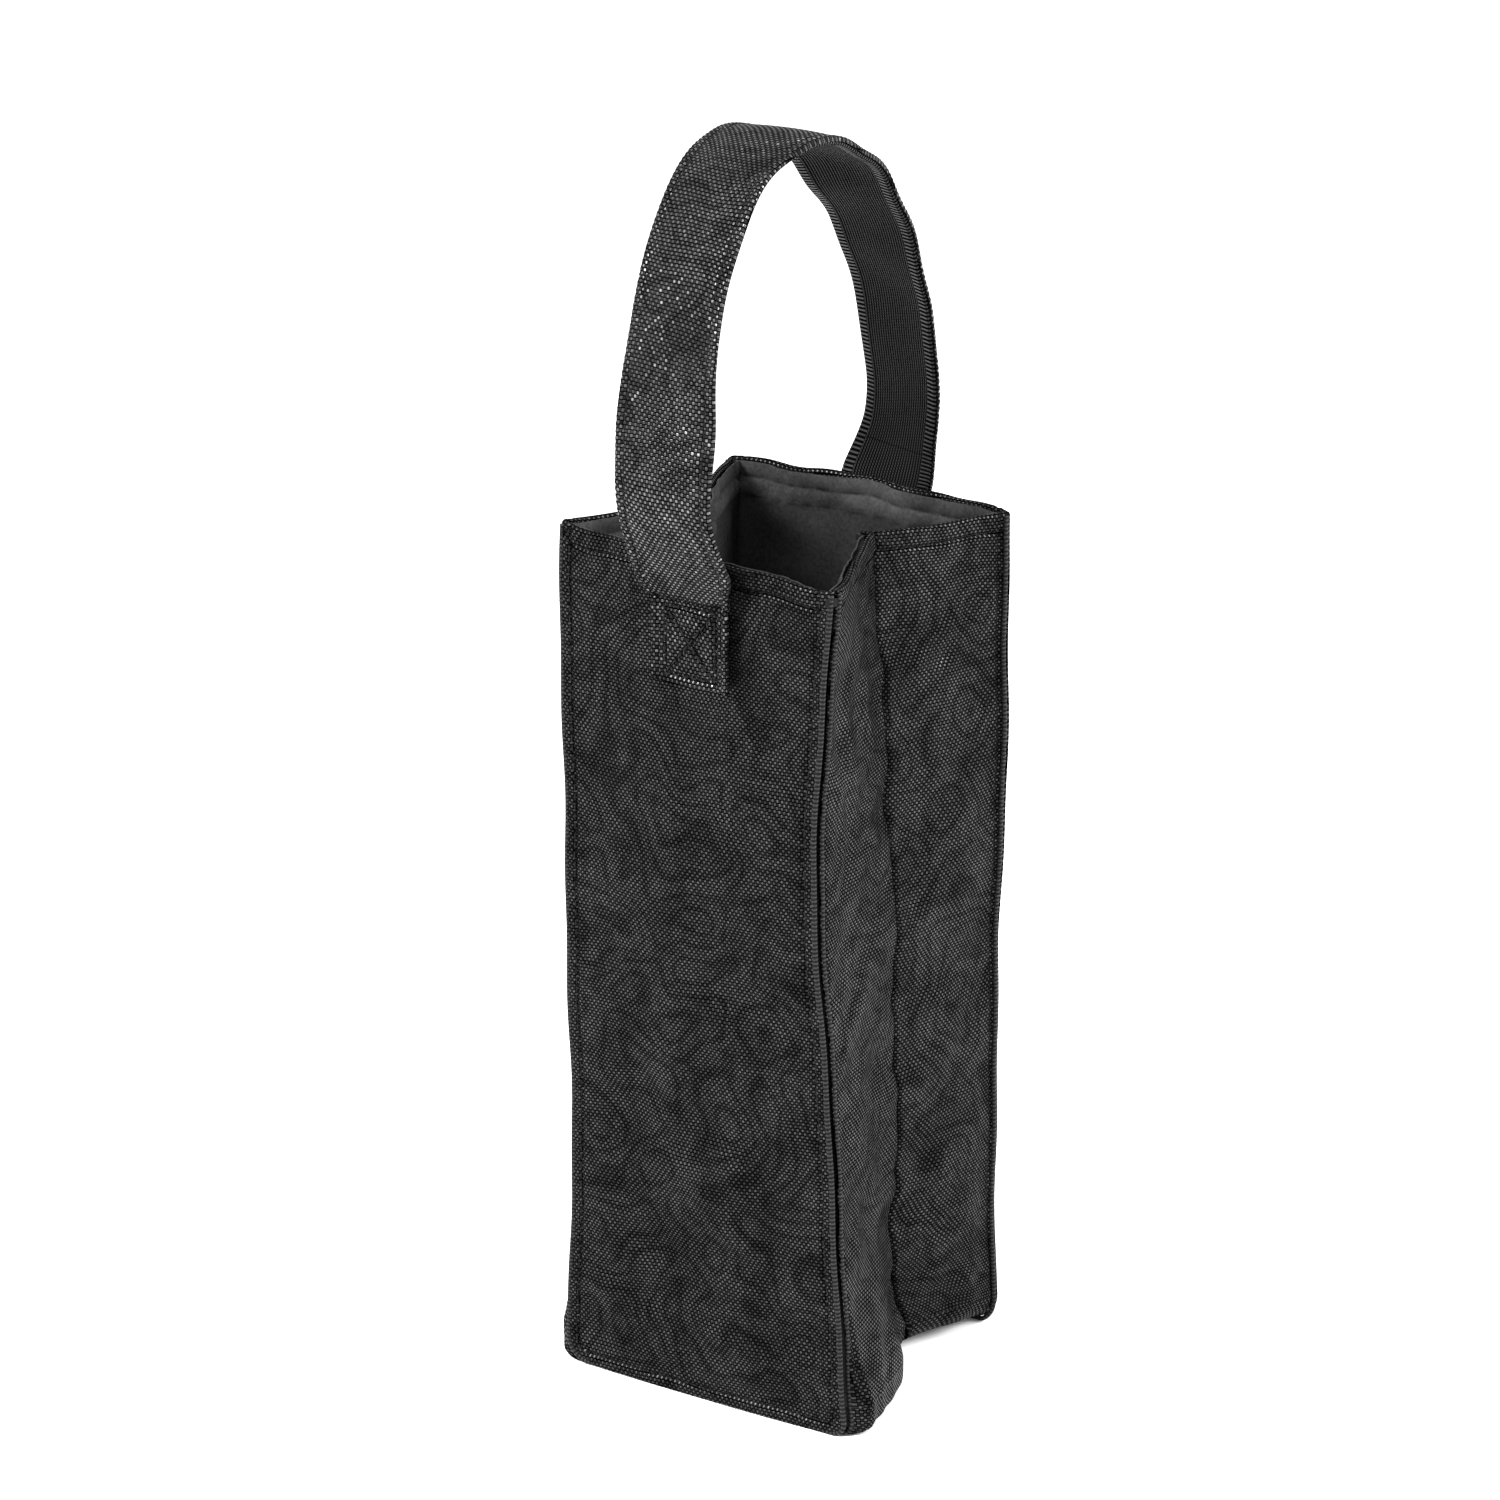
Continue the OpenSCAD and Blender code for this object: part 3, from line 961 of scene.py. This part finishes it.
# --- Base ---
def base_grid(lining):
    """The gusset strip's run across the floor, turned up at both ends."""
    lift = LINING_IN if lining else 0.0
    t = np.linspace(-1, 1, 61)
    roll = np.linspace(0, math.pi / 2, 10)
    flat = np.linspace(-1, 1, 41)[1:-1]
    radius = CORNER_R - lift
    ends = {}
    for side in (-1, 1):
        edge = gusset_surface(side, t, np.full_like(t, CORNER_R), lining)
        ends[side] = (edge[:, 0], edge[:, 1])
    square = 1 + 3.4 * bell(t + 0.6, 0.4)

    def turned_up(side, a):
        x, y = ends[side]
        return np.stack([x - side * radius * (1 - math.cos(a)) ** square, y,
                         np.full_like(t, CORNER_R - radius * math.sin(a))], -1)

    columns = [turned_up(-1, a) for a in roll]
    for f in flat:
        xl, xr = ends[-1][0] + radius, ends[1][0] - radius
        x = xl + (xr - xl) * (f + 1) / 2
        y = ends[-1][1] + (ends[1][1] - ends[-1][1]) * (f + 1) / 2
        columns.append(np.stack([x, y, np.full_like(t, lift)], -1))
    columns += [turned_up(1, a) for a in roll[::-1]]
    points = np.array(columns)
    limit = DEPTH - (2.4 if lining else 1.6)
    points[..., 1] = np.clip(points[..., 1], -limit, limit)
    floor = ramp(CORNER_R - points[..., 2], CORNER_R - 3, CORNER_R - lift)
    # Stretched forward to the front seam, so that no light comes in under it.
    points[..., 1] -= 2.8 * ramp(-points[..., 1], 34, 44) * floor
    sag = 0.45 * (1 + waves(points[..., 0], points[..., 1], 34, 91) * 0.5)
    points[..., 2] += np.clip(sag, 0, 1.0) * floor * (1 - (points[..., 1] / DEPTH) ** 6)
    points[..., 2] += foot_lift(points[..., 0], points[..., 1], points[..., 2])
    return points


def make_base():
    for lining, name, node, material, slot in (
        (False, "base_cloth", "base_panel", BAG_WEAVE, "bag_weave"),
        (True, "base_inner", "base_lining", LINING, "lining"),
    ):
        points = base_grid(lining)
        along = travelled(points[:, 30])
        v = np.broadcast_to(along[:, None], points.shape[:2])
        obj = sheet_object(name, points, grid_normals(points, lining), material,
                           np.stack([points[..., 1], v], -1), lining,
                           -LINING_T if lining else CLOTH_T)
        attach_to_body(obj, "front_panel")
        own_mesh(obj)
        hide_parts(node)


# --- Strap ---
def bezier(p, count):
    p = np.array(p, float)
    t = np.linspace(0, 1, count)[:, None]
    s = 1 - t
    return s**3 * p[0] + 3 * s**2 * t * p[1] + 3 * s * t**2 * p[2] + t**3 * p[3]


STEP = 0.55  # between the points of the strap's route
SPLIT_Z = PATCH_TOP + 18
BOX_CORNERS = [(-BOX_HALF_W, BOX_LOW), (BOX_HALF_W, BOX_LOW),
               (BOX_HALF_W, BOX_TOP), (-BOX_HALF_W, BOX_TOP)]
BOX_SIDES = ((0, 1), (1, 2), (2, 3), (3, 0))
BOX_CROSS = ((0, 2), (1, 3))


def strap_route(end):
    """The strap's middle line from patch to crown: out from the bag, z, and its normals.

    The loop leans: the front half climbs past its peak and the rear half falls away
    sooner. Both end at the crown's join, on y = 0.
    """
    patch_out = DEPTH + PLY + 0.1
    bow_out, bow_z = BOW[1], BOW[2]
    foot_z = PATCH_TOP - 0.5
    join_z = CROWN - 2
    patch = np.array([[patch_out, PATCH_LOW], [patch_out + 0.2, foot_z]])
    foot = bezier([(patch_out + 0.2, foot_z), (patch_out + 5.5, foot_z + 6),
                   (bow_out, bow_z - 20), (bow_out, bow_z)], 60)
    near, far = ((64, bow_z + 73), (32, join_z + 7.5)) if end < 0 else (
        (63, bow_z + 44), (34, join_z - 8))
    upper = bezier([(bow_out, bow_z), near, far, (0, join_z)], 160)
    line = np.concatenate([patch, foot[1:], upper[1:]])
    path = resample(np.concatenate([line, np.zeros((len(line), 1))], 1), STEP)[:, :2]
    tangent = unit(np.gradient(path, axis=0))
    return path[:, 0], path[:, 1], tangent[:, 1], -tangent[:, 0]


ROUTES = {end: strap_route(end) for end in (-1, 1)}


def step_at(end, z):
    """The step of a route's rising part at height z."""
    return int(np.argmax(ROUTES[end][1] >= z))


def strap_turn(end, step, z):
    """How far the strap's two edges turn about the vertical, as a slope of y over x."""
    f = np.clip(step / len(ROUTES[end][1]), 0, 1)
    low = ramp(z, BOW[2] + 35, BOW[2])
    bow = 0.37 + 0.09 * low if end > 0 else 0.11 + 0.14 * ramp(z, BOW[2] + 15, BOW[2] + 45)
    return bow * ramp(z, PATCH_TOP + 1, BOW[2] - 12) * ramp(f, 1.0, 0.45 if end > 0 else 0.8)


def strap_point(end, step, across, out):
    """A point of the strap, from steps along its route, across it and out from its middle."""
    step = np.asarray(step, float)
    known = np.arange(len(ROUTES[end][0]))
    line_out, z, side, up = (np.interp(step, known, values) for values in ROUTES[end])
    sewn = ramp(z, PATCH_TOP + 12, PATCH_TOP - 1)
    free = ramp(z, PATCH_TOP, PATCH_TOP + 25)
    loose = free * ramp(step / len(known), 1.0, 0.86)
    narrow = 1 - 0.2 * ramp(z, PATCH_TOP + 12, PATCH_TOP - 4)
    x = across * narrow + 0.6 * np.sin(step / 56) * loose
    x = x - (1.1 * hump(z, 286, 16, 40, 1.0) if end < 0 else 0.0)
    flat = panel_surface(end, np.clip(x / HALF_W, -1, 1), np.minimum(z, HEM_STITCH - 2),
                         sewn_on=True)
    under = sewn * (end * flat[..., 1] - DEPTH + 0.4)
    cloth = waves(across + 0 * step, step * STEP, 34, 51 if end < 0 else 52, 0.6)
    out = out + 0.7 * loose * cloth - 0.9 * free * (across / STRAP_HALF_W) ** 2
    lifted = 1.6 * ramp(across, STRAP_HALF_W - 7, STRAP_HALF_W) * sewn if end < 0 else 0.0
    y = end * (line_out + under + lifted + out * side)
    y = y - strap_turn(end, step, z) * across
    return np.stack([x, y, z + out * up], -1)


def box_relief(x, z):
    """Troughs along the box stitch and its cross."""
    relief = np.zeros(np.broadcast(x, z).shape)
    for first, last in BOX_SIDES + BOX_CROSS:
        (x0, z0), (x1, z1) = BOX_CORNERS[first], BOX_CORNERS[last]
        span = (x1 - x0) ** 2 + (z1 - z0) ** 2
        t = np.clip(((x - x0) * (x1 - x0) + (z - z0) * (z1 - z0)) / span, 0, 1)
        gap = np.hypot(x - x0 - t * (x1 - x0), z - z0 - t * (z1 - z0))
        relief = np.minimum(relief, -0.95 * bell(gap, 0.95))
    return relief - 0.9 * bell(z - BOX_TOP - 2.2, 1.0)


def section(kind):
    """The strap's cross-section: places across it and out from its middle line."""
    half = STRAP_HALF_W if kind == "outer" else STRAP_HALF_W - 0.9
    edge = np.array([0, 0.12, 0.4, 0.9, 1.6, 2.3, 2.8, 3.15, 3.5, 3.85, 4.2, 4.8, 5.8])
    middle = np.linspace(-half + 6.6, half - 6.6, 33)
    a = np.concatenate([-half + edge, middle, half - edge[::-1]])
    gap = half - np.abs(a)
    round_edge = np.sqrt(np.clip(1 - (1 - np.clip(gap / 0.9, 0, 1)) ** 2, 0, 1))
    if kind == "outer":
        top = 0.25 + round_edge * (1.0 + 0.3 * ramp(gap, 3.4, 2.2))
        top = top - 0.42 * bell(gap - STRAP_STITCH, 0.38)
        bottom = 0.12 + 0 * a
    else:
        top = -0.1 + 0 * a
        bottom = -0.25 - round_edge * (0.8 + 0.2 * ramp(gap, 4.8, 4.2))
    return a, top, bottom


def strap_loft(end, kind, first, last):
    """One ply of the strap between two steps of its route, with its cloth coordinates."""
    a, top, bottom = section(kind)
    across = np.concatenate([a, a[::-1]])[None, :]
    out = np.concatenate([top, bottom[::-1]])[None, :]
    step = np.arange(first, last)[:, None] + 0 * across
    if kind == "outer":
        edge = bell(STRAP_HALF_W - np.abs(across), 1.4)
        out = out + 0.16 * edge * (out > 0.3) * np.cos(2 * math.pi * step * STEP / 2.1)
        z = ROUTES[end][1][first:last, None]
        sewn = (z < BOX_TOP + 5) * (out > 0.3)
        raised = 0.35 * ramp(np.abs(across), BOX_HALF_W + 1, BOX_HALF_W - 1)
        out = out + sewn * (box_relief(across, z) + raised)
    points = strap_point(end, step, across + 0 * step, out + 0 * step)
    uv = np.stack([across + 0 * step, step * STEP], -1)
    return points, uv


def closed_loft(name, points, uv, material, flip):
    rows, cols, _ = points.shape
    faces = grid_faces(rows, cols, flip, closed=True)
    for row in (0, rows - 1):
        start = row * cols
        for j in range(cols // 2 - 1):
            quad = (start + j, start + j + 1, start + cols - 2 - j, start + cols - 1 - j)
            faces.append(quad if (row == 0) == flip else quad[::-1])
    return add_object(name, points.reshape(-1, 3), faces, material, uv.reshape(-1, 2))


def strap_cuts(end):
    """Steps of the route at which the lower and upper lengths meet, and at the crown."""
    return step_at(end, SPLIT_Z), len(ROUTES[end][0])


def strap_words(end):
    """A half's own name, and its panel's."""
    return ("front", "front") if end < 0 else ("rear", "back")


def bend_strap(part, obj):
    """Bakes a length's placement into its mesh, lower and upper lengths alike."""
    if part == "lower":
        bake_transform(obj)
    else:
        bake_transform(obj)


def make_strap(end):
    word, panel = strap_words(end)
    cut, last = strap_cuts(end)
    for kind, plain, material, slot in (("outer", "strap", STRAP_WEAVE, "strap_weave"),
                                        ("inner", "webbing", WEBBING, "webbing")):
        for part, first, stop in (("lower", 0, cut + 1), ("upper", cut, last)):
            points, uv = strap_loft(end, kind, first, stop)
            obj = closed_loft(f"{word}_{plain}_{part}", points, uv, material, flip=end > 0)
            bend_strap(part, obj)
            if part == "lower":
                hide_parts(f"{panel}_{plain}_end", f"{word}_{plain}_foot")
            else:
                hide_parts(f"{word}_{plain}")


def on_strap(end, step, across, lift=0.08):
    """Points on the strap's outer face."""
    a, top, _ = section("outer")
    return strap_point(end, step, across, np.interp(across, a, top) + lift)


def make_strap_stitches(end):
    word = strap_words(end)[0]
    cut, last = strap_cuts(end)
    for part, node, first, stop in (
        ("lower", "foot", step_at(end, PATCH_TOP + 2), cut + 1),
        ("upper", "strap", cut, last),
    ):
        step = np.arange(first, stop)
        lines = [on_strap(end, step, side * (STRAP_HALF_W - STRAP_STITCH) + 0.0 * step)
                 for side in (-1, 1)]

        def normal_at(p):
            near = [int(np.argmin(((lines[0][:, 1:] - q[1:]) ** 2).sum(1))) + first for q in p]
            _, _, out, up = ROUTES[end]
            return np.stack([np.zeros(len(p)), end * out[near], up[near]], -1)

        obj = stitches(f"{word}_edge_stitches_{part}", lines, normal_at)
        bend_strap(part, obj)
        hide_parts(f"{word}_{node}_thread")


def make_box_stitch(end, prefix):
    rising = step_at(end, BOW[2])
    lines = []
    for pairs, trim in ((BOX_SIDES, 0.0), (BOX_CROSS, 0.04)):
        for first, last in pairs:
            t = np.linspace(trim, 1 - trim, 50)
            (x0, z0), (x1, z1) = BOX_CORNERS[first], BOX_CORNERS[last]
            step = np.interp(z0 + (z1 - z0) * t, ROUTES[end][1][:rising], np.arange(rising))
            lines.append(on_strap(end, step, x0 + (x1 - x0) * t, 0.0))
    obj = stitches(f"{prefix}_box_stitches", lines, (0, end, 0), radius=0.3)
    attach(obj, f"{prefix}_panel", f"{prefix}_box_stitch")


# --- Everything, in order ---
add_camera()
add_studio()
for end, prefix in ((-1, "front"), (1, "back")):
    make_panel(end, prefix)
    make_ridge(end, prefix)
    make_edge_stitches(end, prefix)
    make_hem_stitches(end, prefix)
    make_tacks(end, prefix)
    make_panel_lining(end, prefix)
    make_box_stitch(end, prefix)
    make_strap(end)
    make_strap_stitches(end)
for side in (1, -1):
    make_gusset(side)
    make_gusset_stitches(side)
    make_gusset_lining(side)
make_base()
